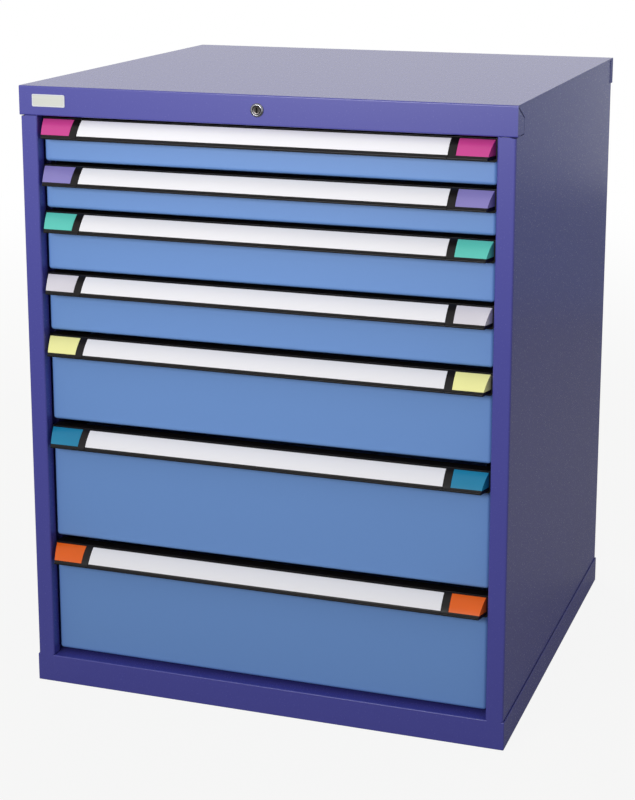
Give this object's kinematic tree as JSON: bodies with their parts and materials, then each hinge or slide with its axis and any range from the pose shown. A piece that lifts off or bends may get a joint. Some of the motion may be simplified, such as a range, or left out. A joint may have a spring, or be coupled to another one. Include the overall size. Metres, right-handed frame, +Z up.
{
  "type": "industrial drawer cabinet",
  "caption": "Free-standing sheet-metal workshop cabinet with full-width sliding drawers, curved black grip rails, coloured end caps, blank label strips and a central lock.",
  "frame": {"origin": "on the floor, under the middle of the closed cabinet's overall box", "axes": "+Z up, +Y from the drawer fronts to the back, +X to the right of someone facing the drawers"},
  "size_m": [0.8, 0.762, 1],
  "materials": {
    "housing_paint": "violet-blue satin powder coat with a fine orange-peel texture",
    "front_paint": "light blue satin powder coat with a fine orange-peel texture",
    "galvanised_steel": "zinc-plated sheet, dull",
    "handle_black": "black moulded plastic, satin",
    "label_card": "white card behind clear film, blank",
    "lock_chrome": "polished chrome",
    "lock_core": "dark, slightly worn steel",
    "plate_silver": "silver-white satin plate, blank",
    "cap_magenta": "moulded plastic, semi-gloss",
    "cap_lavender": "moulded plastic, semi-gloss",
    "cap_mint": "moulded plastic, semi-gloss",
    "cap_light_grey": "moulded plastic, semi-gloss",
    "cap_yellow": "moulded plastic, semi-gloss",
    "cap_petrol": "moulded plastic, semi-gloss",
    "cap_orange": "moulded plastic, semi-gloss"
  },
  "bodies": {
    "cabinet": {"top_cover": "housing_paint", "side_panel_left": "housing_paint", "side_panel_right": "housing_paint", "back_panel": "housing_paint", "base_plinth": "housing_paint", "name_plate": "plate_silver", "lock_barrel": "lock_chrome", "runner_1_left": "galvanised_steel", "runner_1_right": "galvanised_steel", "runner_2_left": "galvanised_steel", "runner_2_right": "galvanised_steel", "runner_3_left": "galvanised_steel", "runner_3_right": "galvanised_steel", "runner_4_left": "galvanised_steel", "runner_4_right": "galvanised_steel", "runner_5_left": "galvanised_steel", "runner_5_right": "galvanised_steel", "runner_6_left": "galvanised_steel", "runner_6_right": "galvanised_steel", "runner_7_left": "galvanised_steel", "runner_7_right": "galvanised_steel"},
    "lock_plug": {"lock_plug": "lock_core", "lock_cam": "galvanised_steel"},
    "lock_rod": {"lock_rod": "galvanised_steel"},
    "locking_bar": {"locking_bar": "galvanised_steel"},
    "drawer_1": {"drawer_1_body": "front_paint", "drawer_1_handle": "handle_black", "drawer_1_label": "label_card", "drawer_1_cap_left": "cap_magenta", "drawer_1_cap_right": "cap_magenta"},
    "drawer_2": {"drawer_2_body": "front_paint", "drawer_2_handle": "handle_black", "drawer_2_label": "label_card", "drawer_2_cap_left": "cap_lavender", "drawer_2_cap_right": "cap_lavender"},
    "drawer_3": {"drawer_3_body": "front_paint", "drawer_3_handle": "handle_black", "drawer_3_label": "label_card", "drawer_3_cap_left": "cap_mint", "drawer_3_cap_right": "cap_mint"},
    "drawer_4": {"drawer_4_body": "front_paint", "drawer_4_handle": "handle_black", "drawer_4_label": "label_card", "drawer_4_cap_left": "cap_light_grey", "drawer_4_cap_right": "cap_light_grey"},
    "drawer_5": {"drawer_5_body": "front_paint", "drawer_5_handle": "handle_black", "drawer_5_label": "label_card", "drawer_5_cap_left": "cap_yellow", "drawer_5_cap_right": "cap_yellow"},
    "drawer_6": {"drawer_6_body": "front_paint", "drawer_6_handle": "handle_black", "drawer_6_label": "label_card", "drawer_6_cap_left": "cap_petrol", "drawer_6_cap_right": "cap_petrol"},
    "drawer_7": {"drawer_7_body": "front_paint", "drawer_7_handle": "handle_black", "drawer_7_label": "label_card", "drawer_7_cap_left": "cap_orange", "drawer_7_cap_right": "cap_orange"}
  },
  "joints": [
    {"name": "lock_turn", "type": "hinge", "parent": "cabinet", "child": "lock_plug", "pos_m": [0, -0.369, 0.977], "axis": [0, -1, 0], "range_deg": [0, 90]},
    {"name": "lock_rod_slide", "type": "slide", "parent": "cabinet", "child": "lock_rod", "axis": [1, 0, 0], "range_m": [0, 0.01414]},
    {"name": "locking_bar_slide", "type": "slide", "parent": "cabinet", "child": "locking_bar", "axis": [0, 0, 1], "range_m": [0, 0.01414]},
    {"name": "drawer_1_slide", "type": "slide", "parent": "cabinet", "child": "drawer_1", "axis": [0, -1, 0], "range_m": [0, 0.56]},
    {"name": "drawer_2_slide", "type": "slide", "parent": "cabinet", "child": "drawer_2", "axis": [0, -1, 0], "range_m": [0, 0.56]},
    {"name": "drawer_3_slide", "type": "slide", "parent": "cabinet", "child": "drawer_3", "axis": [0, -1, 0], "range_m": [0, 0.56]},
    {"name": "drawer_4_slide", "type": "slide", "parent": "cabinet", "child": "drawer_4", "axis": [0, -1, 0], "range_m": [0, 0.56]},
    {"name": "drawer_5_slide", "type": "slide", "parent": "cabinet", "child": "drawer_5", "axis": [0, -1, 0], "range_m": [0, 0.56]},
    {"name": "drawer_6_slide", "type": "slide", "parent": "cabinet", "child": "drawer_6", "axis": [0, -1, 0], "range_m": [0, 0.56]},
    {"name": "drawer_7_slide", "type": "slide", "parent": "cabinet", "child": "drawer_7", "axis": [0, -1, 0], "range_m": [0, 0.56]}
  ],
  "couplings": [
    {"joint": "lock_turn", "follows": "locking_bar_slide", "rad_per_m": 111.11},
    {"joint": "lock_rod_slide", "follows": "locking_bar_slide", "ratio": 1}
  ]
}
